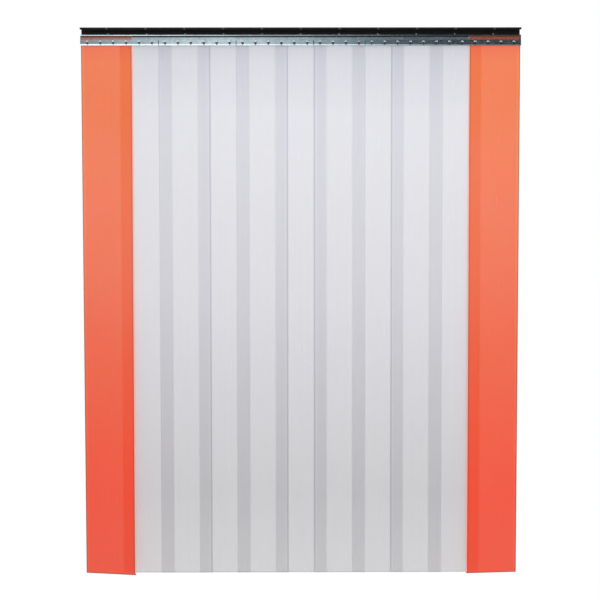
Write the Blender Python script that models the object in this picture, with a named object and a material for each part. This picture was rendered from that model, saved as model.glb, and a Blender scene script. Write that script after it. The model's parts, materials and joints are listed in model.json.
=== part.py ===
"""PVC strip curtain: a head rail, a hanger rail hooked on its bead, and strips clamped by plates.

X runs along the rail, the viewer stands at -Y, the wall is the plane Y = 0, and Z points up.
The origin is on the back face of the head rail, at the middle of its length.
Lengths are in metres. Depths are counted forward from the wall, heights upward.
"""

import math

import bmesh
import bpy
from mathutils import Matrix, Vector

# Strips
STRIP_WIDTH = 0.200
STRIP_LENGTH = 2.100
STRIP_THICKNESS = 0.002
STRIP_COUNT = 11
STUDS_PER_STRIP = 4
SHARED_STUDS = 1
LEFT_TWIST = math.radians(11.2)
RIGHT_TWIST = math.radians(6.0)
TWIST_STEPS = 12
ROUND_STEPS = 3

# Head rail: flange on top with a front lip, upright web, and an arm that ends in a round bead
RAIL_OVERHANG = 0.0035
FLANGE_DEPTH = 0.042
FLANGE_THICKNESS = 0.0035
LIP_DROP = 0.0041
LIP_THICKNESS = 0.003
WEB_THICKNESS = 0.0035
WEB_TAIL = 0.0067
FILLET_RADIUS = 0.004
ARM_THICKNESS = 0.002
BEAD_RADIUS = 0.0036
BEAD_REACH = 0.028
BEAD_DROP = 0.0303
WALL_POINT_DROP = 0.010
FIXING_RADIUS = 0.0025
WEB_FIXING_RISE = 0.0113
NOTCH_RADIUS = 0.0015
NOTCH_HEIGHT = 0.004

# Hanger rail: steel sheet rolled over the bead, then straight down
STEEL_THICKNESS = 0.0015
HOOK_PLAY = 0.0004
HOOK_END = math.radians(45)
STUD_DROP = 0.0252
STUD_RADIUS = 0.003
STUD_PROUD = 0.003
STUD_CHAMFER = 0.0006

# Clamp plates and their nuts
PLATE_THICKNESS = 0.0015
PLATE_ABOVE = 0.0088
PLATE_BELOW = 0.0077
FLARE_HEIGHT = 0.005
FLARE_REACH = 0.003
PLATE_SEAM = 0.001
STUDS_PER_PLATE = 6
PLATES_BEFORE_SHORT_ONE = 3
NUT_WALL = 0.002
NUT_HEIGHT = 0.005
NUT_CHAMFER = 0.0006

# Clamped strip tops and the line below the plates where the strips bend
STRIP_TOP_DROP = 0.0007
BEND_DROP = 0.0038

# Clearances, the overrun of every cut, and the sides of round pieces
GAP = 0.0003
BORE_PLAY = 0.0005
OVERRUN = 0.002
ARC_STEP = math.radians(15)
ROUND_SIDES = 10
NUT_SIDES = 6
NOTCH_SIDES = 4

# Places along the rail. The rails and the row of plates reach a little past the strips
STUD_PITCH = STRIP_WIDTH / STUDS_PER_STRIP
STRIP_STEP = STUD_PITCH * (STUDS_PER_STRIP - SHARED_STUDS)
STUD_COUNT = (STRIP_COUNT - 1) * (STUDS_PER_STRIP - SHARED_STUDS) + STUDS_PER_STRIP
CURTAIN_LEFT = -(STRIP_STEP * (STRIP_COUNT - 1) + STRIP_WIDTH) / 2
RAIL_LEFT = CURTAIN_LEFT - RAIL_OVERHANG
STUD_PLACES = [CURTAIN_LEFT + STUD_PITCH * (index + 1 / 2) for index in range(STUD_COUNT)]
STRIP_CENTRES = [CURTAIN_LEFT + STRIP_WIDTH / 2 + STRIP_STEP * index for index in range(STRIP_COUNT)]

# The bead's centre in the world. The hanger's places below are measured from it
BEAD_CENTRE = Vector((0, -BEAD_REACH, WALL_POINT_DROP - BEAD_DROP))
HOOK_RADIUS = BEAD_RADIUS + HOOK_PLAY + STEEL_THICKNESS
LEG_FRONT = -HOOK_RADIUS
LAYER_STEP = STRIP_THICKNESS + GAP
BACK_LAYER = LEG_FRONT - GAP - STRIP_THICKNESS / 2
FRONT_LAYER = BACK_LAYER - LAYER_STEP
PLATE_BACK = FRONT_LAYER - STRIP_THICKNESS / 2 - GAP
PLATE_FRONT = PLATE_BACK - PLATE_THICKNESS
NUT_FRONT = PLATE_FRONT - NUT_HEIGHT
STUD_TIP = NUT_FRONT - STUD_PROUD
PLATE_BOTTOM = -STUD_DROP - PLATE_BELOW - FLARE_HEIGHT
BEND_LINE = PLATE_BOTTOM - BEND_DROP
HEAD_BOTTOM = BEND_LINE + STRIP_THICKNESS / 2 + GAP
HANGING_LENGTH = STRIP_LENGTH - (-STRIP_TOP_DROP - BEND_LINE)

# Turns a shape whose axis is +Z so that it points forward, to the viewer
FORWARD = Matrix.Rotation(math.radians(90), 4, "X")


def make_material(name, colour, roughness, metallic=0.0, alpha=1.0):
    material = bpy.data.materials.new(name)
    material.use_nodes = True
    shader = material.node_tree.nodes["Principled BSDF"]
    shader.inputs["Base Color"].default_value = (*colour, 1.0)
    shader.inputs["Roughness"].default_value = roughness
    shader.inputs["Metallic"].default_value = metallic
    shader.inputs["Alpha"].default_value = alpha
    return material


def make_empty(name, place):
    """A pivot that carries the pieces that turn about it."""
    pivot = bpy.data.objects.new(name, None)
    bpy.context.collection.objects.link(pivot)
    pivot.location = place
    return pivot


def make_object(name, shape, material=None, place=(0, 0, 0), parent=None):
    """Makes an object of a bmesh. Its place is measured from its parent's."""
    bmesh.ops.recalc_face_normals(shape, faces=shape.faces)
    mesh = bpy.data.meshes.new(name)
    shape.to_mesh(mesh)
    shape.free()
    mesh.shade_smooth()
    mesh.set_sharp_from_angle(angle=math.radians(40))
    obj = bpy.data.objects.new(name, mesh)
    bpy.context.collection.objects.link(obj)
    obj.location = place
    obj.parent = parent
    if material:
        mesh.materials.append(material)
    return obj


def make_helper(name, shape, parent=None):
    """An operand of a Boolean, which isn't part of the model."""
    helper = make_object(name, shape, parent=parent)
    helper.hide_render = True
    helper.display_type = "WIRE"
    return helper


def combine(obj, helper, operation):
    modifier = obj.modifiers.new(helper.name, "BOOLEAN")
    modifier.operation = operation
    modifier.object = helper


def add_loft(shape, rings):
    """Adds a closed body that runs through rings of points, with a flat cap at both ends."""
    rows = [[shape.verts.new(point) for point in ring] for ring in rings]
    for first, second in zip(rows, rows[1:]):
        for index, corner in enumerate(first):
            shape.faces.new((first[index - 1], corner, second[index], second[index - 1]))
    shape.faces.new(rows[0])
    shape.faces.new(rows[-1])


def prism(outline, left, right):
    """A body with one (y, z) outline all along X."""
    shape = bmesh.new()
    add_loft(shape, [[(x, y, z) for y, z in outline] for x in (left, right)])
    return shape


def add_turned(shape, profile, sides, turn, places):
    """Adds a body at each place, turned about its axis from (radius, distance) pairs."""
    angles = [math.tau * index / sides for index in range(sides)]
    for place in places:
        to_place = Matrix.Translation(place) @ turn
        rings = []
        for radius, distance in profile:
            corners = [(radius * math.cos(a), radius * math.sin(a), distance) for a in angles]
            rings.append([to_place @ Vector(corner) for corner in corners])
        add_loft(shape, rings)


def arc(centre, radius, start, end):
    """Points of a round stretch of an outline, both ends included."""
    steps = max(1, math.ceil(abs(end - start) / ARC_STEP - 1e-6))
    angles = [start + (end - start) * index / steps for index in range(steps + 1)]
    return [(centre[0] + radius * math.cos(a), centre[1] + radius * math.sin(a)) for a in angles]


def bent_sheet(path, thickness):
    """The outline of sheet metal whose one face follows the path and whose other lies to its left."""
    runs = [(Vector(b) - Vector(a)).normalized() for a, b in zip(path, path[1:])]
    normals = [Vector((-run.y, run.x)) for run in runs]
    other = []
    for index, point in enumerate(path):
        before = normals[max(index - 1, 0)]
        after = normals[min(index, len(normals) - 1)]
        mitre = (before + after).normalized()
        other.append(tuple(Vector(point) + mitre * (thickness / mitre.dot(before))))
    return path + other[::-1]


def build_head_rail(material):
    top = WALL_POINT_DROP
    underside = top - FLANGE_THICKNESS
    lip_bottom = underside - LIP_DROP
    bead = (BEAD_CENTRE.y, BEAD_CENTRE.z)
    web_bottom = bead[1] - WEB_TAIL
    arm_half = ARM_THICKNESS / 2
    neck = math.asin(arm_half / BEAD_RADIUS)
    corner = (-WEB_THICKNESS - FILLET_RADIUS, underside - FILLET_RADIUS)
    outline = [
        (0, top),
        (0, web_bottom),
        (-WEB_THICKNESS, web_bottom),
        (-WEB_THICKNESS, bead[1] - arm_half),
        *arc(bead, BEAD_RADIUS, -neck, neck - math.tau),
        (-WEB_THICKNESS, bead[1] + arm_half),
        *arc(corner, FILLET_RADIUS, 0, math.radians(90)),
        (LIP_THICKNESS - FLANGE_DEPTH, underside),
        (LIP_THICKNESS - FLANGE_DEPTH, lip_bottom),
        (-FLANGE_DEPTH, lip_bottom),
        (-FLANGE_DEPTH, top),
    ]
    rail = make_object("head_rail", prism(outline, RAIL_LEFT, -RAIL_LEFT), material)

    cuts = bmesh.new()
    web_fixings = [(x, 0, bead[1] + WEB_FIXING_RISE) for x in STRIP_CENTRES]
    web_drill = [(FIXING_RADIUS, -OVERRUN), (FIXING_RADIUS, WEB_THICKNESS + OVERRUN)]
    add_turned(cuts, web_drill, ROUND_SIDES, FORWARD, web_fixings)
    flange_fixings = [(x, -FLANGE_DEPTH / 2, top) for x in STRIP_CENTRES]
    flange_drill = [(FIXING_RADIUS, -FLANGE_THICKNESS - OVERRUN), (FIXING_RADIUS, OVERRUN)]
    add_turned(cuts, flange_drill, ROUND_SIDES, Matrix.Identity(4), flange_fixings)
    notches = [(x, -FLANGE_DEPTH, top) for x in STRIP_CENTRES]
    notch = [(NOTCH_RADIUS, -NOTCH_HEIGHT), (NOTCH_RADIUS, OVERRUN)]
    add_turned(cuts, notch, NOTCH_SIDES, Matrix.Identity(4), notches)
    combine(rail, make_helper("rail_cuts", cuts), "DIFFERENCE")


def build_hanger_rail(material, pivot):
    """The hook, the leg below it, and the studs welded to the leg."""
    hook = arc((0, 0), HOOK_RADIUS, HOOK_END, math.radians(180))
    outline = bent_sheet(hook + [(LEG_FRONT, PLATE_BOTTOM)], STEEL_THICKNESS)
    rail = make_object("hanger_rail", prism(outline, RAIL_LEFT, -RAIL_LEFT), material, parent=pivot)

    root = STEEL_THICKNESS / 2
    reach = root + LEG_FRONT - STUD_TIP
    profile = [
        (STUD_RADIUS, 0),
        (STUD_RADIUS, reach - STUD_CHAMFER),
        (STUD_RADIUS - STUD_CHAMFER, reach),
    ]
    studs = bmesh.new()
    places = [(x, LEG_FRONT + root, -STUD_DROP) for x in STUD_PLACES]
    add_turned(studs, profile, ROUND_SIDES, FORWARD, places)
    combine(rail, make_helper("studs", studs, pivot), "UNION")


def make_stud_bores(pivot):
    """One cutter for every hole that a stud passes through."""
    bores = bmesh.new()
    radius = STUD_RADIUS + BORE_PLAY
    reach = LEG_FRONT - STUD_TIP
    places = [(x, LEG_FRONT, -STUD_DROP) for x in STUD_PLACES]
    add_turned(bores, [(radius, 0), (radius, reach + OVERRUN)], ROUND_SIDES, FORWARD, places)
    return make_helper("stud_bores", bores, pivot)


def plate_stud_counts():
    """How many studs each plate takes, with the plate that takes the rest near the middle."""
    full, rest = divmod(STUD_COUNT, STUDS_PER_PLATE)
    counts = [STUDS_PER_PLATE] * full
    if rest:
        counts.insert(PLATES_BEFORE_SHORT_ONE, rest)
    return counts


def build_clamp_plates(material, pivot, bores):
    """Flared plates side by side, each with its nuts tightened on it."""
    flat_bottom = -STUD_DROP - PLATE_BELOW
    path = [
        (PLATE_FRONT, PLATE_ABOVE - STUD_DROP),
        (PLATE_FRONT, flat_bottom),
        (PLATE_FRONT - FLARE_REACH, PLATE_BOTTOM),
    ]
    outline = bent_sheet(path, PLATE_THICKNESS)
    root = PLATE_THICKNESS / 2
    nut_radius = (STUD_RADIUS + NUT_WALL) / math.cos(math.pi / NUT_SIDES)
    nut_profile = [
        (nut_radius, 0),
        (nut_radius, root + NUT_HEIGHT - NUT_CHAMFER),
        (nut_radius - NUT_CHAMFER, root + NUT_HEIGHT),
    ]
    first = 0
    for number, count in enumerate(plate_stud_counts(), start=1):
        last = first + count
        left = CURTAIN_LEFT + STUD_PITCH * first + PLATE_SEAM / 2 if first else RAIL_LEFT
        right = CURTAIN_LEFT + STUD_PITCH * last - PLATE_SEAM / 2 if last < STUD_COUNT else -RAIL_LEFT
        name = f"clamp_plate_{number}"
        plate = make_object(name, prism(outline, left, right), material, parent=pivot)
        nuts = bmesh.new()
        places = [(x, PLATE_FRONT + root, -STUD_DROP) for x in STUD_PLACES[first:last]]
        add_turned(nuts, nut_profile, NUT_SIDES, FORWARD, places)
        combine(plate, make_helper(f"nuts_{number}", nuts, pivot), "UNION")
        combine(plate, bores, "DIFFERENCE")
        first = last


def build_strip_head(number, centre, depth, material, pivot, bores):
    """The clamped top of a strip, down to the line where the strip bends."""
    half = STRIP_THICKNESS / 2
    outline = [
        (depth - half, HEAD_BOTTOM),
        (depth + half, HEAD_BOTTOM),
        (depth + half, -STRIP_TOP_DROP),
        (depth - half, -STRIP_TOP_DROP),
    ]
    shape = prism(outline, centre - STRIP_WIDTH / 2, centre + STRIP_WIDTH / 2)
    head = make_object(f"strip_head_{number:02d}", shape, material, parent=pivot)
    combine(head, bores, "DIFFERENCE")


def strip_section(height, half, side, twist):
    """Four corners of a strip's section. It turns about its outer edge, so the inner edge comes forward."""
    outer = Vector((side * STRIP_WIDTH / 2, 0, height))
    across = Vector((-side * math.cos(twist), -math.sin(twist), 0)) * STRIP_WIDTH
    thick = Vector((-side * math.sin(twist), math.cos(twist), 0)) * half
    return [outer - thick, outer + across - thick, outer + across + thick, outer + thick]


def build_strip(number, centre, depth, material, pivot, side, twist):
    """The hanging part of a strip, with a half-round top on the line where it bends."""
    half = STRIP_THICKNESS / 2
    rings = []
    for step in range(ROUND_STEPS - 1, -1, -1):
        angle = math.radians(90) * step / ROUND_STEPS
        rings.append(strip_section(half * math.sin(angle), half * math.cos(angle), side, 0))
    steps = TWIST_STEPS if twist else 1
    for step in range(1, steps + 1):
        share = step / steps
        rings.append(strip_section(-HANGING_LENGTH * share, half, side, twist * share))
    shape = bmesh.new()
    add_loft(shape, rings)
    make_object(f"strip_{number:02d}", shape, material, (centre, depth, BEND_LINE), pivot)


def build_strips(clear, orange, pivot, bores):
    """Odd strips hang in the front layer and even ones behind. The end strips are orange."""
    for number, centre in enumerate(STRIP_CENTRES, start=1):
        depth = FRONT_LAYER if number % 2 else BACK_LAYER
        side = -1
        twist = 0
        material = clear
        if number == 1:
            twist = LEFT_TWIST
            material = orange
        if number == STRIP_COUNT:
            side = 1
            twist = RIGHT_TWIST
            material = orange
        build_strip_head(number, centre, depth, material, pivot, bores)
        build_strip(number, centre, depth, material, pivot, side, twist)


def main():
    for obj in list(bpy.data.objects):
        bpy.data.objects.remove(obj)
    black = make_material("black_rail", (0.012, 0.012, 0.013), 0.42)
    steel = make_material("galvanised", (0.62, 0.66, 0.70), 0.34, metallic=1.0)
    clear = make_material("clear_pvc", (0.78, 0.79, 0.86), 0.12, alpha=0.5)
    orange = make_material("orange_pvc", (0.90, 0.18, 0.07), 0.12, alpha=0.7)
    build_head_rail(black)
    pivot = make_empty("hanger_pivot", BEAD_CENTRE)
    build_hanger_rail(steel, pivot)
    bores = make_stud_bores(pivot)
    build_clamp_plates(steel, pivot, bores)
    build_strips(clear, orange, pivot, bores)


main()
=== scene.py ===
import json
import math

import bmesh
import bpy
from mathutils import Euler, Matrix, Vector


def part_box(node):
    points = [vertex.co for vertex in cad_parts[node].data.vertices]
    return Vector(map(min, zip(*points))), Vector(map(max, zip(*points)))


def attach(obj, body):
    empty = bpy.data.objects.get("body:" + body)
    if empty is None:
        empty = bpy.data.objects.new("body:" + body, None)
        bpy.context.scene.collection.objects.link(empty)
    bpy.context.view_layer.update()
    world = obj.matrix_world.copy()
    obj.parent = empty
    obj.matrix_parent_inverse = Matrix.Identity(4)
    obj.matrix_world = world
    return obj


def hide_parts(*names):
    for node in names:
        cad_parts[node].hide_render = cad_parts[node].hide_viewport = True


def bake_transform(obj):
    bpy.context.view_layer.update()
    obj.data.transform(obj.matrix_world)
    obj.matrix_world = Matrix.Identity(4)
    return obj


# Strip curtain: flexible strips, clamp plates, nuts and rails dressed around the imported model
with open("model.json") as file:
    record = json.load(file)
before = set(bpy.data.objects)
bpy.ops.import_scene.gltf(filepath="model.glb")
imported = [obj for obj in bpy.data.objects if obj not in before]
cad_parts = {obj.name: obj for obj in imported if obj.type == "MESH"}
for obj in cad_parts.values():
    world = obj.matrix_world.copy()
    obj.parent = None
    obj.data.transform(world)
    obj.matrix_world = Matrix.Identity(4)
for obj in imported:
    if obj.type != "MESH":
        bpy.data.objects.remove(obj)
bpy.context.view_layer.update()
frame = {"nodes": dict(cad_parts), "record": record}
print("curtain: packed model loaded")

joints = {joint["name"]: joint for joint in frame["record"]["behaviour"]["joints"]}
stripNumbers = [int(name[-2:]) for name in sorted(frame["nodes"]) if name.startswith("strip_head_")]
plateNumbers = [int(name[-1]) for name in sorted(frame["nodes"]) if name.startswith("clamp_plate_")]
studPitch = 0.050
upright = math.radians(90)


class Signal:
    # a value inside a material: ordinary arithmetic on it adds Math nodes
    def __init__(self, finish, socket):
        self.finish = finish
        self.socket = socket

    def math(self, operation, first, second=0.0):
        return self.finish.node("ShaderNodeMath", {"operation": operation}, {0: first, 1: second})

    def __add__(self, other):
        return self.math("ADD", self, other)

    def __radd__(self, other):
        return self.math("ADD", other, self)

    def __sub__(self, other):
        return self.math("SUBTRACT", self, other)

    def __rsub__(self, other):
        return self.math("SUBTRACT", other, self)

    def __mul__(self, other):
        return self.math("MULTIPLY", self, other)

    def __abs__(self):
        return self.math("ABSOLUTE", self)

    def least(self, other):
        return self.math("MINIMUM", self, other)

    def most(self, other):
        return self.math("MAXIMUM", self, other)

    def root(self):
        return self.math("SQRT", self)

    def wrap(self, period):
        # the remainder after whole periods, never below 0
        return self.math("FLOORED_MODULO", self, period)

    def fade(self, start, end):
        # 0 at start, 1 at end, smooth between them
        ends = {"Value": self, "From Min": start, "From Max": end}
        return self.finish.node("ShaderNodeMapRange", {"interpolation_type": "SMOOTHSTEP"}, ends)


class Finish:
    # one material with a Principled shader
    def __init__(self, name, **fixed):
        self.material = bpy.data.materials.new(name)
        self.material.use_nodes = True
        self.tree = self.material.node_tree
        self.shader = self.tree.nodes["Principled BSDF"]
        self.set(**fixed)

    def set(self, **values):
        # baseColor=... goes to the socket called Base Color
        for name, value in values.items():
            title = "".join(" " + letter if letter.isupper() else letter for letter in name).strip()
            self.feed(self.shader.inputs[(title[0].upper() + title[1:]).replace("I O R", "IOR")], value)

    def feed(self, socket, value):
        if isinstance(value, Signal):
            self.tree.links.new(value.socket, socket)
        else:
            socket.default_value = value

    def node(self, kind, settings, inputs, output=0):
        made = self.tree.nodes.new(kind)
        for name, value in settings.items():
            if name == "stops":
                for index, (place, colour) in enumerate(value):
                    ramp = made.color_ramp.elements
                    stop = ramp[index] if index < 2 else ramp.new(place)
                    stop.position = place
                    stop.color = colour
            else:
                setattr(made, name, value)
        for name, value in inputs.items():
            self.feed(made.inputs[name], value)
        return Signal(self, made.outputs[output])

    def place(self, turn=(0, 0, 0), scale=(1, 1, 1)):
        # Object coordinates, turned and stretched
        spot = self.node("ShaderNodeTexCoord", {}, {}, "Object")
        return self.node("ShaderNodeMapping", {}, {"Vector": spot, "Rotation": turn, "Scale": scale})

    def upward(self):
        # 1 on faces that look up, and -1 on faces that look down
        return self.split(self.node("ShaderNodeNewGeometry", {}, {}, "Normal"), "Z")

    def noise(self, where, scale, detail, roughness=0.5):
        values = {"Vector": where, "Scale": scale, "Detail": detail, "Roughness": roughness}
        return self.node("ShaderNodeTexNoise", {}, values, "Fac")

    def cells(self, where, scale):
        # one value for each crystal of the zinc
        colours = self.node("ShaderNodeTexVoronoi", {}, {"Vector": where, "Scale": scale}, "Color")
        return self.split(colours, "X")

    def blend(self, amount, first, second):
        # mixes two colours
        settings = {"data_type": "RGBA", "clamp_factor": True}
        return self.node("ShaderNodeMix", settings, {0: amount, 6: first, 7: second}, 2)

    def ramp(self, stops, amount):
        return self.node("ShaderNodeValToRGB", {"stops": stops}, {"Fac": amount})

    def vector(self, operation, first, second):
        return self.node("ShaderNodeVectorMath", {"operation": operation}, {0: first, 1: second})

    def bump(self, height, distance, strength=0.5):
        values = {"Height": height, "Distance": distance, "Strength": strength}
        return self.node("ShaderNodeBump", {}, values)

    def split(self, vector, axis):
        return self.node("ShaderNodeSeparateXYZ", {}, {0: vector}, axis)


def rgb(red, green, blue):
    return (red, green, blue, 1.0)


def weigh(weights, **signals):
    # the base value and each signal's share added up
    total = weights["base"]
    for name, signal in signals.items():
        total = total + signal * weights[name]
    return total


# finishes
blackLook = {
    "colour": rgb(0.0095, 0.0095, 0.0100),
    "dusty": rgb(0.034, 0.034, 0.035),
    # a painted highlight in the hollow under the flange
    "rubbed": rgb(0.085, 0.085, 0.088),
    "shine": 0.32,
    "grain": 900.0,
    "grainDepth": 0.00004,
    # long scuffs, drawn out along the rail
    "scuffs": 60.0,
    "scuffStretch": (0.05, 1, 1),
    "scuffRange": (0.60, 0.78),
    "dust": 25.0,
    "dustRange": (0.35, 0.75),
    # how far a face looks up or down where dust lies and where the hollow is
    "dustTilt": (0.6, 1.0),
    "hollowStart": (-0.97, -0.75),
    "hollowEnd": (-0.55, -0.12),
    "paleness": {"base": 0, "dust": 0.5, "scuffs": 0.3},
    "hollowPaleness": 0.7,
    "roughness": {"base": 0.34, "grain": 0.10, "dust": 0.2, "scuffs": 0.1},
    # bare metal about the notches in the front lip
    "bare": rgb(0.13, 0.13, 0.13),
    "notchPitch": 0.150,
    "notchReach": (0.0014, 0.0036),
    "lipDepth": (-0.0395, -0.0385),
}


def makeBlackFinish():
    look = blackLook
    finish = Finish("blackRail", specularIORLevel=look["shine"])
    where = finish.place()
    along = finish.place(scale=look["scuffStretch"])
    grain = finish.noise(where, look["grain"], detail=2)
    scuffs = finish.noise(along, look["scuffs"], detail=6, roughness=0.65).fade(*look["scuffRange"])
    up = finish.upward()
    dust = up.fade(*look["dustTilt"]) * finish.noise(where, look["dust"], detail=5).fade(*look["dustRange"])
    # painted highlight: the hollow under the flange is painted paler than the flats
    hollow = up.fade(*look["hollowStart"]) * (1.0 - up.fade(*look["hollowEnd"]))
    pale = weigh(look["paleness"], dust=dust, scuffs=scuffs)
    colour = finish.blend(pale, look["colour"], look["dusty"])
    colour = finish.blend(hollow * look["hollowPaleness"], colour, look["rubbed"])
    # the notches are at whole pitches from the rail's middle
    half = look["notchPitch"] / 2
    sideways = abs((finish.split(where, "X") + half).wrap(look["notchPitch"]) - half)
    lip = 1.0 - finish.split(where, "Y").fade(*look["lipDepth"])
    bare = lip * (1.0 - sideways.fade(*look["notchReach"]))
    finish.set(baseColor=finish.blend(bare, colour, look["bare"]))
    finish.set(roughness=weigh(look["roughness"], grain=grain, dust=dust, scuffs=scuffs))
    finish.set(normal=finish.bump(grain, look["grainDepth"]))
    return finish.material


steelLook = {
    "pale": rgb(0.74, 0.88, 0.95),
    "dull": rgb(0.54, 0.67, 0.75),
    "spangle": 110.0,
    "drawn": 420.0,
    "drawnStretch": (0.02, 1, 1),
    "blotches": 30.0,
    "blotchRange": (0.35, 0.70),
    "dullness": {"base": 0, "spangle": 0.30, "blotches": 0.60},
    "roughness": {"base": 0.10, "spangle": 0.05, "blotches": 0.08, "drawn": 0.03, "grime": 0.2},
    "height": {"base": 0, "drawn": 0.15, "spangle": 0.08, "blotches": 0.9},
    "relief": 0.00004,
    # painted shadow on the plates just below each nut
    "grime": rgb(0.030, 0.032, 0.035),
    "grimeMiddle": -0.0475,
    "grimeReach": (0.0048, 0.0064),
    "plateDepth": (-0.0384, -0.0376),
}


def makeSteelFinish():
    look = steelLook
    finish = Finish("galvanisedSteel", metallic=1.0)
    where = finish.place()
    drawn = finish.noise(finish.place(scale=look["drawnStretch"]), look["drawn"], detail=3)
    spangle = finish.cells(where, look["spangle"])
    blotches = finish.noise(where, look["blotches"], detail=5, roughness=0.6)
    dull = weigh(look["dullness"], spangle=spangle, blotches=blotches.fade(*look["blotchRange"]))
    # the studs are half a pitch from the curtain's middle, and one pitch apart
    sideways = abs(finish.split(where, "X").wrap(studPitch) - studPitch / 2)
    below = abs(finish.split(where, "Z") - look["grimeMiddle"])
    away = (sideways * sideways + below * below).root()
    plates = 1.0 - finish.split(where, "Y").fade(*look["plateDepth"])
    # painted shadow on the plates round the lower side of each nut
    grime = plates * (1.0 - away.fade(*look["grimeReach"]))
    colour = finish.blend(dull, look["pale"], look["dull"])
    finish.set(baseColor=finish.blend(grime, colour, look["grime"]))
    rough = weigh(look["roughness"], spangle=spangle, blotches=blotches, drawn=drawn, grime=grime)
    finish.set(roughness=rough)
    height = weigh(look["height"], drawn=drawn, spangle=spangle, blotches=blotches)
    finish.set(normal=finish.bump(height, look["relief"]))
    return finish.material


zincLook = {
    "bright": rgb(0.95, 0.97, 0.99),
    "worn": rgb(0.80, 0.83, 0.85),
    "metal": 0.65,
    "shine": 0.5,
    "wear": 350.0,
    "wearRange": (0.4, 0.75),
    "roughness": {"base": 0.10, "wear": 0.15, "grime": 0.25},
    "relief": 0.00005,
    # painted shade: dark on the lower part of each nut and stud, by height, and on their undersides
    "grime": rgb(0.016, 0.017, 0.018),
    "grimeHeight": (-0.0473, -0.0465),
    "grimeTilt": (-0.60, -0.20),
}


def makeZincFinish():
    look = zincLook
    finish = Finish("zincPlate", metallic=look["metal"], specularIORLevel=look["shine"])
    where = finish.place()
    wear = finish.noise(where, look["wear"], detail=5, roughness=0.6)
    colour = finish.blend(wear.fade(*look["wearRange"]), look["bright"], look["worn"])
    # painted shade on the lower part of each nut and stud and on their undersides
    low = 1.0 - finish.split(where, "Z").fade(*look["grimeHeight"])
    grime = low.most(1.0 - finish.upward().fade(*look["grimeTilt"]))
    finish.set(baseColor=finish.blend(grime, colour, look["grime"]))
    finish.set(roughness=weigh(look["roughness"], wear=wear, grime=grime))
    finish.set(normal=finish.bump(wear, look["relief"]))
    return finish.material


pvcLook = {
    # the flat sheet, in millimetres, as are the places below
    "width": 200.0,
    "length": 2100.0,
    # from the top: the dark top, which is the cut edge and painted shade, the clamped part, and the painted
    # shadow under the plates
    "cutEnd": (5.0, 6.6),
    "clampedEnd": (33.0, 40.0),
    "pressedStart": (16.5, 18.5),
    "pressedEnd": (32.0, 34.5),
    # from the foot: the cut edge
    "footEnd": (2.6, 4.4),
    # about the width of the painted highlight along the inner edge
    "rimBlur": (-0.6, 0.4),
    "refraction": 1.53,
    "shine": 0.5,
    # stretch marks down the strip, haze, and long slanted scratches
    "drawn": 90.0,
    "drawnStretch": (1, 1, 0.01),
    "haze": 9.0,
    "scratches": 260.0,
    "scratchSlant": (0, 0.35, 0),
    "scratchStretch": (1, 1, 0.04),
    "scratchRange": (0.68, 0.76),
    "brightest": (0.97, 0.97, 0.97),
    "footShare": 0.8,
    # how much of the light the sheet keeps back, apart from each look's own film
    "hazeFilm": 0.05,
    "drawnFilm": 0.03,
    "scratchFilm": 0.04,
    "darkFilm": 0.8,
    "mostFilm": 0.98,
    "roughness": {"base": 0.10, "haze": 0.10, "scratches": 0.25},
    "height": {"base": 0, "drawn": 0.4, "haze": 2.0},
    "relief": 0.0002,
    "reliefStrength": 0.25,
}
clearLook = {
    "name": "clearPvc",
    # down the strip, from its top to its foot: painted shade just below the plates, lightest a little lower,
    # darker towards the foot and a little lighter at the foot itself
    "colours": [
        (0.000, rgb(0.575, 0.58, 0.65)),
        (0.022, rgb(0.60, 0.605, 0.675)),
        (0.050, rgb(0.69, 0.70, 0.78)),
        (0.140, rgb(0.785, 0.79, 0.85)),
        (0.500, rgb(0.75, 0.745, 0.80)),
        (0.850, rgb(0.62, 0.610, 0.645)),
        (1.000, rgb(0.70, 0.690, 0.72)),
    ],
    # the dark top: the cut edge and painted shade, also the colour of the painted shadow under the plates
    "cutTop": rgb(0.016, 0.030, 0.040),
    "cutFoot": rgb(0.36, 0.37, 0.40),
    "film": [(0.0, 0.57), (0.12, 0.54), (0.48, 0.52), (0.82, 0.55), (1.0, 0.54)],
    "clampedFilm": 0.05,
    # painted glow, standing in for light that passes through the sheet
    "glow": rgb(1.0, 1.0, 1.0),
    "glowStrength": 0.10,
    # millimetres from the strip's outer side, and what the colour is multiplied by there; the brighter bands
    # just inside the edges are painted highlights
    "across": [
        (0.0, (0.90, 0.90, 0.92)),
        (2.6, (0.92, 0.92, 0.94)),
        (3.8, (1.04, 1.04, 1.04)),
        (7.0, (1.02, 1.02, 1.02)),
        (9.0, (1.00, 1.00, 1.00)),
        (186.0, (1.00, 1.00, 1.00)),
        (189.5, (1.05, 1.05, 1.05)),
        (193.5, (1.05, 1.05, 1.05)),
        (195.6, (0.80, 0.80, 0.83)),
        (200.0, (0.76, 0.76, 0.80)),
    ],
}
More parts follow.
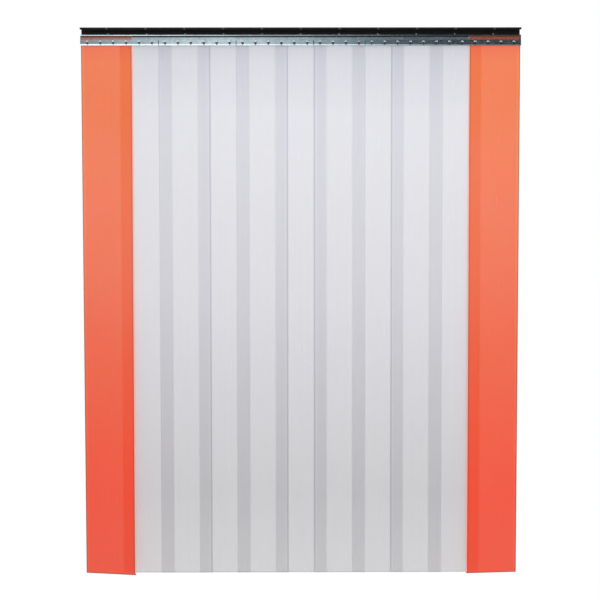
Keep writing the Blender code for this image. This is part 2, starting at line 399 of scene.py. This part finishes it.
orangeLook = {
    "name": "orangePvc",
    # down the strip, from its top to its foot: painted shade just below the plates, and a deeper orange
    # towards the foot
    "colours": [
        (0.000, rgb(0.79, 0.175, 0.060)),
        (0.022, rgb(0.79, 0.185, 0.058)),
        (0.050, rgb(0.82, 0.225, 0.058)),
        (0.140, rgb(0.82, 0.225, 0.060)),
        (0.500, rgb(0.84, 0.160, 0.053)),
        (0.850, rgb(0.92, 0.093, 0.039)),
        (1.000, rgb(0.90, 0.097, 0.041)),
    ],
    # the dark top: the cut edge and painted shade, also the colour of the painted shadow under the plates
    "cutTop": rgb(0.16, 0.045, 0.018),
    "cutFoot": rgb(0.20, 0.045, 0.03),
    "film": [(0.0, 0.75), (0.12, 0.76), (0.50, 0.77), (0.82, 0.81), (1.0, 0.80)],
    "clampedFilm": 0.22,
    # painted glow, standing in for light that passes through the sheet
    "glow": rgb(1.0, 0.06, 0.015),
    "glowStrength": 0.22,
    # a painted highlight along the inner edge
    "rim": rgb(0.97, 0.66, 0.60),
    "rimWidth": 4.2,
    # the brighter bands just inside the edges are painted highlights
    "across": [
        (0.0, (0.36, 0.80, 1.25)),
        (3.6, (0.42, 0.82, 1.25)),
        (5.0, (1.04, 1.20, 1.20)),
        (11.0, (1.04, 1.15, 1.05)),
        (15.0, (1.00, 1.00, 1.00)),
        (148.0, (1.00, 1.00, 1.00)),
        (151.0, (0.99, 1.00, 1.10)),
        (184.0, (0.99, 1.00, 1.10)),
        (190.8, (0.96, 0.94, 1.10)),
        (192.0, (0.50, 0.82, 1.10)),
        (200.0, (0.50, 0.82, 1.10)),
    ],
}


def makePvcFinish(look):
    # u runs from the outer side of the strip to its inner side, and v down it, both from 0 to 1
    shared = pvcLook
    finish = Finish(look["name"], IOR=shared["refraction"], specularIORLevel=shared["shine"])
    finish.set(emissionStrength=look["glowStrength"])
    sheet = finish.node("ShaderNodeUVMap", {"uv_map": "sheet"}, {})
    across = finish.split(sheet, "X")
    down = finish.split(sheet, "Y")
    fromInner = (1.0 - across) * shared["width"]
    fromTop = down * shared["length"]
    fromFoot = (1.0 - down) * shared["length"]
    drawn = finish.noise(finish.place(scale=shared["drawnStretch"]), shared["drawn"], detail=3)
    haze = finish.noise(finish.place(), shared["haze"], detail=4, roughness=0.55)
    slanted = finish.place(turn=shared["scratchSlant"], scale=shared["scratchStretch"])
    scratches = finish.noise(slanted, shared["scratches"], detail=2).fade(*shared["scratchRange"])
    foot = 1.0 - fromFoot.fade(*shared["footEnd"])
    # the top few millimetres: the cut edge with painted shade
    cut = 1.0 - fromTop.fade(*shared["cutEnd"])
    clamped = 1.0 - fromTop.fade(*shared["clampedEnd"])
    # painted shadow under the plates, dark and nearly opaque, seen only through their seams
    shadowUnderPlates = fromTop.fade(*shared["pressedStart"]) * (1.0 - fromTop.fade(*shared["pressedEnd"]))
    # a colour stop holds at most 1, so the tint is halved in the stops and doubled after them
    stops = [(place / shared["width"], rgb(*(value / 2 for value in tint))) for place, tint in look["across"]]
    tint = finish.vector("MULTIPLY", finish.ramp(stops, across), (2.0, 2.0, 2.0))
    body = finish.vector("MULTIPLY", finish.ramp(look["colours"], down), tint)
    body = finish.vector("MINIMUM", body, shared["brightest"])
    # painted highlight along the inner edge of the orange strips
    if "rim" in look:
        rimStart, rimEnd = (look["rimWidth"] + blur for blur in shared["rimBlur"])
        body = finish.blend(1.0 - fromInner.fade(rimStart, rimEnd), body, look["rim"])
    body = finish.blend(foot * shared["footShare"], body, look["cutFoot"])
    body = finish.blend(shadowUnderPlates, body, look["cutTop"])
    finish.set(baseColor=finish.blend(cut, body, look["cutTop"]))
    # painted glow, off in the clamped part
    finish.set(emissionColor=finish.blend(clamped, look["glow"], rgb(0, 0, 0)))
    stops = [(place, rgb(value, value, value)) for place, value in look["film"]]
    film = finish.ramp(stops, down) + (haze - 0.5) * shared["hazeFilm"]
    film = film + (drawn - 0.5) * shared["drawnFilm"] + scratches * shared["scratchFilm"]
    film = film * (1.0 - clamped) + clamped * look["clampedFilm"]
    film = film + cut.most(shadowUnderPlates) * shared["darkFilm"]
    finish.set(alpha=film.least(shared["mostFilm"]))
    finish.set(roughness=weigh(shared["roughness"], haze=haze, scratches=scratches))
    height = weigh(shared["height"], drawn=drawn, haze=haze)
    finish.set(normal=finish.bump(height, shared["relief"], shared["reliefStrength"]))
    return finish.material


finishes = {
    "black": makeBlackFinish(),
    "steel": makeSteelFinish(),
    "zinc": makeZincFinish(),
    "clear": makePvcFinish(clearLook),
    "orange": makePvcFinish(orangeLook),
}
print("curtain: finishes made")


def toPiece(name, shape, material, body=None, sharpAngle=35):
    # the mesh keeps its place, and the object stays at the origin
    mesh = bpy.data.meshes.new(name)
    shape.to_mesh(mesh)
    shape.free()
    mesh.materials.append(material)
    mesh.shade_smooth()
    mesh.set_sharp_from_angle(angle=math.radians(sharpAngle))
    piece = bpy.data.objects.new(name, mesh)
    bpy.context.scene.collection.objects.link(piece)
    if body:
        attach(piece, body)
    return piece


def keepFlats(piece):
    # the flat faces stay flat to the light right up to their rounded edges
    flats = piece.modifiers.new("flats", "WEIGHTED_NORMAL")
    flats.keep_sharp = True
    flats.weight = 100


def roundEdges(piece, width):
    edge = piece.modifiers.new("edge", "BEVEL")
    edge.width = width
    edge.segments = 2
    edge.limit_method = "ANGLE"
    edge.angle_limit = math.radians(50)
    keepFlats(piece)


def thicken(piece, thickness, offset):
    # the wall of a sheet, to one side of its faces (-1) or to both (0)
    wall = piece.modifiers.new("wall", "SOLIDIFY")
    wall.thickness = thickness
    wall.offset = offset
    wall.use_even_offset = offset == 0


def grownFrom(shape, edges, move):
    # a row of faces from some edges, and the edges at its far side
    grown = bmesh.ops.extrude_edge_only(shape, edges=edges)
    far = [item for item in grown["geom"] if isinstance(item, bmesh.types.BMVert)]
    made = [item for item in grown["geom"] if isinstance(item, bmesh.types.BMEdge)]
    bmesh.ops.translate(shape, verts=far, vec=move)
    return far, [edge for edge in made if all(vert in far for vert in edge.verts)]


def faceForward(shape):
    # all faces turn the same way, and the largest one to the front
    bmesh.ops.recalc_face_normals(shape, faces=shape.faces)
    if max(shape.faces, key=lambda face: face.calc_area()).normal.y > 0:
        bmesh.ops.reverse_faces(shape, faces=shape.faces)


def nodeShape(node):
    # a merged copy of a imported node, with its flat faces whole again
    shape = bmesh.new()
    shape.from_mesh(frame["nodes"][node].data)
    bmesh.ops.remove_doubles(shape, verts=shape.verts, dist=0.000002)
    bmesh.ops.dissolve_limit(
        shape, verts=shape.verts, edges=shape.edges,
        angle_limit=math.radians(0.5), use_dissolve_boundaries=False,
    )
    return shape


# head rail
railLook = {"edge": 0.0005, "sharpAngle": 30}


def makeHeadRail():
    look = railLook
    shape = nodeShape("head_rail")
    sharp = math.radians(look["sharpAngle"])
    edges = [edge for edge in shape.edges if edge.is_manifold and edge.calc_face_angle(0) > sharp]
    bmesh.ops.bevel(
        shape, geom=edges, offset=look["edge"], segments=2, profile=0.5, material=-1,
        affect="EDGES", offset_type="OFFSET", clamp_overlap=True,
    )
    piece = toPiece("headRail", shape, finishes["black"], "head_rail")
    keepFlats(piece)
    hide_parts("head_rail")


# strips
stripLook = {
    "columns": 12,
    "rows": 60,
    # the soft part, from above the bend line to below it
    "bendRows": 10,
    "bendStart": 0.0030,
    "bendEnd": 0.0140,
    "edgeRadius": 0.0005,
    "sharpAngle": 60,
    # how far the foot of an end strip leans towards the middle
    "lean": 0.003,
}


def makeStrip(number):
    look = stripLook
    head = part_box(f"strip_head_{number:02d}")
    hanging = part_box(f"strip_{number:02d}")
    joint = joints[f"strip_{number:02d}_bend"]
    thickness = head[1][1] - head[0][1]
    width = head[1][0] - head[0][0]
    top = head[1][2]
    bottom = hanging[0][2]
    depth = (head[0][1] + head[1][1]) / 2
    bendHeight = joint["pos_m"][2]
    centre = (head[0][0] + head[1][0]) / 2
    length = top - bottom

    shape = bmesh.new()
    bmesh.ops.create_grid(shape, x_segments=look["columns"], y_segments=look["rows"], size=0.5)
    stand = Matrix.Rotation(upright, 4, "X") @ Matrix.Diagonal((width, length, 1, 1))
    middle = Matrix.Translation((centre, depth, (top + bottom) / 2))
    bmesh.ops.transform(shape, matrix=middle @ stand, verts=shape.verts)
    bendTop = bendHeight + look["bendStart"]
    bendBottom = bendHeight - look["bendEnd"]
    for step in range(look["bendRows"] + 1):
        height = bendTop + (bendBottom - bendTop) * step / look["bendRows"]
        everything = shape.verts[:] + shape.edges[:] + shape.faces[:]
        bmesh.ops.bisect_plane(shape, geom=everything, plane_co=(0, 0, height), plane_no=(0, 0, 1))

    outer = -1 if centre < 0 else 1
    sheet = shape.loops.layers.uv.new("sheet")
    for face in shape.faces:
        for corner in face.loops:
            spot = corner.vert.co
            sideways = (spot.x - centre) / width
            # the middle strip has two inner sides
            across = 0.5 - (abs(sideways) if abs(centre) < studPitch else outer * sideways)
            corner[sheet].uv = (across, (top - spot.z) / length)

    # the end strips turn about their outer edge, so that the inner edge comes forward
    turn = math.asin(max(0.0, (hanging[1][1] - hanging[0][1] - thickness) / width))
    lean = look["lean"] if turn else 0
    outerEdge = centre + outer * width / 2
    for vert in shape.verts:
        share = max(0.0, (bendHeight - vert.co.z) / (bendHeight - bottom))
        inward = outer * (outerEdge - vert.co.x)
        vert.co.x = outerEdge - outer * (inward + lean * share)
        vert.co.y = depth - inward * math.sin(turn * share)
    bmesh.ops.recalc_face_normals(shape, faces=shape.faces)

    colour = "orange" if number in (stripNumbers[0], stripNumbers[-1]) else "clear"
    name = f"pvcStrip{number:02d}"
    piece = toPiece(name, shape, finishes[colour], sharpAngle=look["sharpAngle"])
    thicken(piece, thickness, 0)
    roundEdges(piece, look["edgeRadius"])
    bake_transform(piece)
    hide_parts(f"strip_head_{number:02d}", f"strip_{number:02d}")


# hanger rail
hangerLook = {
    "steel": 0.0015,
    # the curl starts above the bead, on its wall side, and ends in the leg
    "curlStart": math.radians(45),
    "curl": math.radians(135),
    "curlSteps": 18,
    "edge": 0.0003,
}


def makeHangerRail():
    look = hangerLook
    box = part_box("hanger_rail")
    bead = Vector(joints["hanger_swing"]["pos_m"])
    radius = box[1][2] - bead.z
    start = bead + Vector((0, math.cos(look["curlStart"]), math.sin(look["curlStart"]))) * radius
    shape = bmesh.new()
    ends = [shape.verts.new((x, start.y, start.z)) for x in (box[0][0], box[1][0])]
    line = shape.edges.new(ends)
    curled = bmesh.ops.spin(
        shape, geom=[line] + ends, axis=(1, 0, 0), cent=bead, angle=look["curl"],
        steps=look["curlSteps"], use_merge=False, use_normal_flip=False, use_duplicate=False,
    )
    last = [item for item in curled["geom_last"] if isinstance(item, bmesh.types.BMEdge)]
    grownFrom(shape, last, (0, 0, box[0][2] - bead.z))
    faceForward(shape)
    piece = toPiece("hangerRail", shape, finishes["steel"], "hanger")
    thicken(piece, look["steel"], -1)
    roundEdges(piece, look["edge"])
    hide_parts("hanger_rail")


# clamp plates
plateLook = {
    "steel": 0.0015,
    "gap": 0.0003,
    "easedEnd": 0.0007,
    "bendSteps": 4,
    "bendStep": 0.0004,
    "flareHeight": 0.005,
    "flareReach": 0.003,
    "edge": 0.0003,
}


def plateFront():
    # the plates press on the front layer of strips
    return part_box("strip_head_01")[0][1] - plateLook["gap"] - plateLook["steel"]


def makePlate(number):
    look = plateLook
    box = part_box(f"clamp_plate_{number}")
    left = box[0][0] + look["easedEnd"]
    right = box[1][0] - look["easedEnd"]
    bottom = box[0][2]
    top = box[1][2]
    shape = bmesh.new()
    ends = [shape.verts.new((x, plateFront(), top)) for x in (left, right)]
    edges = [shape.edges.new(ends)]
    # down the flat, then round the bend and out along the flare, as steps forward and down
    moves = [(0, bottom + look["flareHeight"] + 2 * look["bendStep"] - top)]
    lean = math.atan2(look["flareReach"], look["flareHeight"])
    for step in range(look["bendSteps"]):
        angle = lean * (step + 1) / (look["bendSteps"] + 1)
        moves.append((-look["bendStep"] * math.sin(angle), -look["bendStep"] * math.cos(angle)))
    reach = sum(move[0] for move in moves)
    fall = sum(move[1] for move in moves)
    moves.append((-look["flareReach"] - reach, bottom - top - fall))
    for forward, down in moves:
        edges = grownFrom(shape, edges, (0, forward, down))[1]
    faceForward(shape)
    piece = toPiece(f"clampPlate{number}", shape, finishes["steel"], "hanger")
    thicken(piece, look["steel"], -1)
    roundEdges(piece, look["edge"])
    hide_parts(f"clamp_plate_{number}")


# studs and nuts
fastenerLook = {
    "sharpAngle": 25,
    "studRadius": 0.003,
    "threadDepth": 0.00035,
    "tipChamfer": 0.0008,
    "proudOfNut": 0.0016,
    "threadPitch": 0.001,
    "threads": 9,
    "sides": 18,
    "acrossFlats": 0.010,
    "nutHeight": 0.0038,
    "hexHeight": 0.0026,
    "hexChamfer": 0.0007,
    "collarRadius": 0.0044,
    "collarRound": 0.0014,
    "dropBelowBead": 0.0252,
    # degrees from one nut to the next, and those after which a hexagon looks the same
    "turnStep": 37,
    "turnWrap": 60,
}


def studShape(tip):
    # a threaded end that points along -Y, its tip at the given depth
    look = fastenerLook
    shape = bmesh.new()
    radius = look["studRadius"] - look["tipChamfer"]
    ring = bmesh.ops.create_circle(shape, cap_ends=False, radius=radius, segments=look["sides"])["verts"]
    bmesh.ops.rotate(shape, verts=ring, matrix=Matrix.Rotation(upright, 3, "X"))
    bmesh.ops.translate(shape, verts=ring, vec=(0, tip, 0))
    edges = shape.edges[:]
    bmesh.ops.contextual_create(shape, geom=edges)
    root = look["studRadius"] - look["threadDepth"]
    half = look["threadPitch"] / 2
    steps = [(look["tipChamfer"] - look["threadDepth"], root)]
    steps += [(half, look["studRadius"]), (half, root)] * look["threads"]
    for back, wide in steps:
        ring, edges = grownFrom(shape, edges, (0, back, 0))
        bmesh.ops.scale(shape, verts=ring, vec=(wide / radius, 1, wide / radius))
        radius = wide
    bmesh.ops.contextual_create(shape, geom=edges)
    bmesh.ops.recalc_face_normals(shape, faces=shape.faces)
    return shape


def nutShape(face):
    # a locking nut, a chamfered hexagon with a rounded collar, seated on the plate's front face
    look = fastenerLook
    shape = bmesh.new()
    corner = look["acrossFlats"] / 2 / math.cos(math.radians(30))
    # sides, radius, height, rounding and its steps
    parts = [
        (6, corner, look["hexHeight"], look["hexChamfer"], 2),
        (24, look["collarRadius"], look["nutHeight"], look["collarRound"], 4),
    ]
    for sides, radius, height, rounding, steps in parts:
        made = bmesh.ops.create_cone(
            shape, cap_ends=True, cap_tris=False, segments=sides,
            radius1=radius, radius2=radius, depth=height,
        )
        bmesh.ops.translate(shape, verts=made["verts"], vec=(0, 0, height / 2))
        # the edges round its outer end
        end = {vert for vert in made["verts"] if vert.co.z > height / 2}
        rim = [edge for edge in shape.edges if all(vert in end for vert in edge.verts)]
        bmesh.ops.bevel(
            shape, geom=rim, offset=rounding, segments=steps, profile=0.5, material=-1, affect="EDGES",
        )
    bmesh.ops.rotate(shape, verts=shape.verts, matrix=Matrix.Rotation(upright, 3, "X"))
    bmesh.ops.translate(shape, verts=shape.verts, vec=(0, face, 0))
    return shape


def repeat(shape, places, turns):
    # copies of one shape at each place, each turned a little about its own axis
    whole = bmesh.new()
    mesh = bpy.data.meshes.new("pattern")
    shape.to_mesh(mesh)
    shape.free()
    for place, turn in zip(places, turns):
        first = len(whole.verts)
        whole.from_mesh(mesh)
        whole.verts.ensure_lookup_table()
        fresh = whole.verts[first:]
        bmesh.ops.rotate(whole, verts=fresh, cent=(0, 0, 0), matrix=Matrix.Rotation(turn, 3, "Y"))
        bmesh.ops.translate(whole, verts=fresh, vec=place)
    bpy.data.meshes.remove(mesh)
    return whole


def makeFasteners():
    look = fastenerLook
    front = plateFront()
    bead = Vector(joints["hanger_swing"]["pos_m"])
    height = bead.z - look["dropBelowBead"]
    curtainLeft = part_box("strip_head_01")[0][0]
    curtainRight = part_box(f"strip_head_{stripNumbers[-1]:02d}")[1][0]
    count = round((curtainRight - curtainLeft) / studPitch)
    xs = [curtainLeft + studPitch * (index + 0.5) for index in range(count)]
    turns = [math.radians((index * look["turnStep"]) % look["turnWrap"]) for index in range(count)]
    tip = front - look["nutHeight"] - look["proudOfNut"]
    studs = repeat(studShape(tip), [(x, 0, height) for x in xs], turns)
    toPiece("studs", studs, finishes["zinc"], "hanger", look["sharpAngle"])
    for number in plateNumbers:
        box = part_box(f"clamp_plate_{number}")
        own = [(x, turn) for x, turn in zip(xs, turns) if box[0][0] < x < box[1][0]]
        nuts = repeat(nutShape(front), [(x, 0, height) for x, _ in own], [turn for _, turn in own])
        piece = toPiece(f"nuts{number}", nuts, finishes["zinc"], "hanger", look["sharpAngle"])
        keepFlats(piece)


makeHeadRail()
print("curtain: head rail made")
makeHangerRail()
for plateNumber in plateNumbers:
    makePlate(plateNumber)
makeFasteners()
print("curtain: hanger rail, plates, studs and nuts made")
for stripNumber in stripNumbers:
    makeStrip(stripNumber)
print("curtain: strips made")


# camera
cameraLook = {
    "place": (-0.0252, -5.000, -0.8001),
    "pitch": math.radians(-2.822),
    "yaw": math.radians(-0.244),
    "roll": math.radians(-0.068),
    "lens": 76.30,
    "film": 36.0,
    "nearest": 0.05,
    "farthest": 100.0,
}


def makeCamera():
    look = cameraLook
    data = bpy.data.cameras.new("photoCamera")
    data.lens = look["lens"]
    data.sensor_width = look["film"]
    data.clip_start = look["nearest"]
    data.clip_end = look["farthest"]
    camera = bpy.data.objects.new("photoCamera", data)
    bpy.context.scene.collection.objects.link(camera)
    aim = Euler((upright + look["pitch"], 0, look["yaw"])).to_matrix().to_4x4()
    camera.matrix_world = Matrix.Translation(look["place"]) @ aim @ Matrix.Rotation(look["roll"], 4, "Z")
    bpy.context.scene.camera = camera


# studio
studioLook = {
    "floorHeight": -2.70,
    "floorReach": 40.0,
    "floorInMirror": 0.0,
    "floorSeen": 1.16,
    "floorShare": 0.8,
    "floorColour": rgb(0.9, 0.9, 0.9),
    "ambient": 0.41,
    "lamps": {
        "topBox": {
            "place": (0.3, -1.6, 2.2),
            "aim": (0, 0, -0.9),
            "size": (3.2, 1.6),
            "power": 26,
        },
        "frontBox": {
            "place": (0.5, -4.6, 0.35),
            "aim": (0, 0, -0.8),
            "size": (2.4, 1.6),
            "power": 64,
        },
    },
    # painted shade: a glowing grey strip that shows through the row of screw holes
    "wallStrip": {
        "middle": (0, 0.0005, -0.0088),
        "size": (1.66, 0.0090),
        "tilt": upright,
        "light": rgb(0.26, 0.26, 0.26),
    },
    # what the steel mirrors: bright at the left, dark at the right
    "boards": {
        "frontBoard": {
            "strength": 1.0,
            "middle": (0, -5.3, 3.6),
            "size": (12.0, 7.0),
            "tilt": upright,
            "across": [
                (-2.60, rgb(0.18, 0.18, 0.18)),
                (-1.63, rgb(0.26, 0.25, 0.24)),
                (-1.20, rgb(0.58, 0.60, 0.62)),
                (-0.66, rgb(0.86, 0.86, 0.84)),
                (0.02, rgb(0.47, 0.51, 0.51)),
                (0.37, rgb(0.26, 0.32, 0.34)),
                (0.64, rgb(0.040, 0.055, 0.070)),
                (0.90, rgb(0.025, 0.035, 0.045)),
                (2.20, rgb(0.030, 0.030, 0.035)),
            ],
        },
        "curlBoard": {
            "strength": 2.4,
            "middle": (0, -3.85, 3.1),
            "size": (12.0, 2.9),
            "tilt": 0.0,
            "across": [
                (-2.00, rgb(0.80, 0.80, 0.80)),
                (-1.17, rgb(1.00, 1.00, 1.00)),
                (-0.65, rgb(0.22, 0.23, 0.24)),
                (-0.33, rgb(0.06, 0.065, 0.07)),
                (0.00, rgb(0.025, 0.028, 0.03)),
                (1.56, rgb(0.006, 0.006, 0.007)),
            ],
        },
        # the tops of the nuts catch this one from end to end
        "nutBoard": {
            "strength": 1.4,
            "middle": (0, 0.75, 3.1),
            "size": (12.0, 3.1),
            "tilt": 0.0,
            "across": [
                (-3.00, rgb(0.80, 0.80, 0.80)),
                (0.00, rgb(1.00, 1.00, 1.00)),
                (3.00, rgb(0.80, 0.80, 0.80)),
            ],
        },
        "topBoard": {
            "strength": 1.5,
            "middle": (0, -1.60, 3.1),
            "size": (12.0, 1.6),
            "tilt": 0.0,
            "across": [
                (-3.00, rgb(0.50, 0.50, 0.50)),
                (-1.36, rgb(1.00, 1.00, 1.00)),
                (-0.60, rgb(1.00, 1.00, 1.00)),
                (0.02, rgb(0.92, 0.92, 0.90)),
                (0.29, rgb(0.78, 0.79, 0.81)),
                (0.71, rgb(0.26, 0.27, 0.28)),
                (1.00, rgb(0.13, 0.13, 0.14)),
                (1.60, rgb(0.07, 0.07, 0.08)),
            ],
        },
    },
}


def viewRays(tree, kinds):
    # 1 for the kinds of ray named, 0 for the rest
    paths = tree.nodes.new("ShaderNodeLightPath")
    total = paths.outputs[f"Is {kinds[0]} Ray"]
    for kind in kinds[1:]:
        most = tree.nodes.new("ShaderNodeMath")
        most.operation = "MAXIMUM"
        tree.links.new(total, most.inputs[0])
        tree.links.new(paths.outputs[f"Is {kind} Ray"], most.inputs[1])
        total = most.outputs[0]
    return total


def makeWorld():
    world = bpy.data.worlds.new("studio")
    bpy.context.scene.world = world
    world.use_nodes = True
    tree = world.node_tree
    sky = tree.nodes["Background"]
    sky.inputs["Color"].default_value = rgb(1, 1, 1)
    strength = tree.nodes.new("ShaderNodeMapRange")
    tree.links.new(viewRays(tree, ["Camera", "Glossy", "Transmission"]), strength.inputs["Value"])
    strength.inputs["To Min"].default_value = studioLook["ambient"]
    strength.inputs["To Max"].default_value = 1.0
    tree.links.new(strength.outputs[0], sky.inputs["Strength"])


def toStage(name, shape, material):
    mesh = bpy.data.meshes.new(name)
    shape.to_mesh(mesh)
    shape.free()
    mesh.materials.append(material)
    thing = bpy.data.objects.new(name, mesh)
    bpy.context.scene.collection.objects.link(thing)
    return thing


def panelShape(look):
    # one rectangle, flat or tilted about the line along its middle
    shape = bmesh.new()
    bmesh.ops.create_grid(shape, x_segments=1, y_segments=1, size=0.5)
    turn = Matrix.Rotation(look["tilt"], 4, "X") @ Matrix.Diagonal((*look["size"], 1, 1))
    bmesh.ops.transform(shape, matrix=Matrix.Translation(look["middle"]) @ turn, verts=shape.verts)
    return shape


def makeFloor():
    look = studioLook
    finish = Finish("paleFloor", roughness=0.9, specularIORLevel=0.0, baseColor=look["floorColour"])
    tree = finish.tree
    # the camera sees it white with a faint shadow, and mirrors see it dark
    glow = tree.nodes.new("ShaderNodeEmission")
    mix = tree.nodes.new("ShaderNodeMixShader")
    seen = tree.nodes.new("ShaderNodeMapRange")
    share = tree.nodes.new("ShaderNodeMapRange")
    tree.links.new(viewRays(tree, ["Camera", "Transmission"]), seen.inputs["Value"])
    tree.links.new(viewRays(tree, ["Camera", "Transmission", "Glossy"]), share.inputs["Value"])
    seen.inputs["To Min"].default_value = look["floorInMirror"]
    seen.inputs["To Max"].default_value = look["floorSeen"]
    share.inputs["To Max"].default_value = look["floorShare"]
    tree.links.new(seen.outputs[0], glow.inputs["Strength"])
    tree.links.new(share.outputs[0], mix.inputs[0])
    tree.links.new(finish.shader.outputs[0], mix.inputs[1])
    tree.links.new(glow.outputs[0], mix.inputs[2])
    tree.links.new(mix.outputs[0], tree.nodes["Material Output"].inputs["Surface"])
    shape = bmesh.new()
    bmesh.ops.create_grid(shape, x_segments=1, y_segments=1, size=look["floorReach"])
    bmesh.ops.translate(shape, verts=shape.verts, vec=(0, 0, look["floorHeight"]))
    toStage("floor", shape, finish.material)


def makeBoard(name):
    # a glowing board that is seen only in reflections
    look = studioLook["boards"][name]
    material = bpy.data.materials.new(name)
    material.use_nodes = True
    tree = material.node_tree
    spot = tree.nodes.new("ShaderNodeTexCoord")
    parts = tree.nodes.new("ShaderNodeSeparateXYZ")
    across = tree.nodes.new("ShaderNodeMapRange")
    ramp = tree.nodes.new("ShaderNodeValToRGB")
    glow = tree.nodes.new("ShaderNodeEmission")
    glow.inputs["Strength"].default_value = look["strength"]
    width = look["size"][0]
    across.inputs["From Min"].default_value = -width / 2
    across.inputs["From Max"].default_value = width / 2
    for index, (place, light) in enumerate(look["across"]):
        share = place / width + 0.5
        stop = ramp.color_ramp.elements[index] if index < 2 else ramp.color_ramp.elements.new(share)
        stop.position = share
        stop.color = light
    tree.links.new(spot.outputs["Object"], parts.inputs[0])
    tree.links.new(parts.outputs["X"], across.inputs["Value"])
    tree.links.new(across.outputs[0], ramp.inputs[0])
    tree.links.new(ramp.outputs["Color"], glow.inputs["Color"])
    tree.links.new(glow.outputs[0], tree.nodes["Material Output"].inputs["Surface"])
    board = toStage(name, panelShape(look), material)
    board.visible_camera = False
    board.visible_diffuse = False
    board.visible_shadow = False
    board.visible_transmission = False


def makeHoleShadeStrip():
    # painted shade for the holes: hidden by the head rail's web but for its holes, and clear from behind
    look = studioLook["wallStrip"]
    material = bpy.data.materials.new("wallStrip")
    material.use_nodes = True
    tree = material.node_tree
    side = tree.nodes.new("ShaderNodeNewGeometry")
    glow = tree.nodes.new("ShaderNodeEmission")
    clear = tree.nodes.new("ShaderNodeBsdfTransparent")
    mix = tree.nodes.new("ShaderNodeMixShader")
    glow.inputs["Color"].default_value = look["light"]
    tree.links.new(side.outputs["Backfacing"], mix.inputs[0])
    tree.links.new(glow.outputs[0], mix.inputs[1])
    tree.links.new(clear.outputs[0], mix.inputs[2])
    tree.links.new(mix.outputs[0], tree.nodes["Material Output"].inputs["Surface"])
    strip = toStage("wallStrip", panelShape(look), material)
    strip.visible_diffuse = False
    strip.visible_shadow = False


def makeLamps():
    for name, look in studioLook["lamps"].items():
        data = bpy.data.lights.new(name, "AREA")
        data.shape = "RECTANGLE"
        data.size, data.size_y = look["size"]
        data.energy = look["power"]
        lamp = bpy.data.objects.new(name, data)
        bpy.context.scene.collection.objects.link(lamp)
        lamp.location = look["place"]
        aim = Vector(look["aim"]) - Vector(look["place"])
        lamp.rotation_euler = aim.to_track_quat("-Z", "Y").to_euler()
        lamp.visible_glossy = False
        lamp.visible_camera = False


makeCamera()
makeWorld()
makeFloor()
for board in studioLook["boards"]:
    makeBoard(board)
makeHoleShadeStrip()
makeLamps()
bpy.context.scene.view_settings.view_transform = "Standard"
# light still gets through when many clear strips lie behind each other
bpy.context.scene.cycles.transparent_max_bounces = 24
print("curtain: camera and studio made")
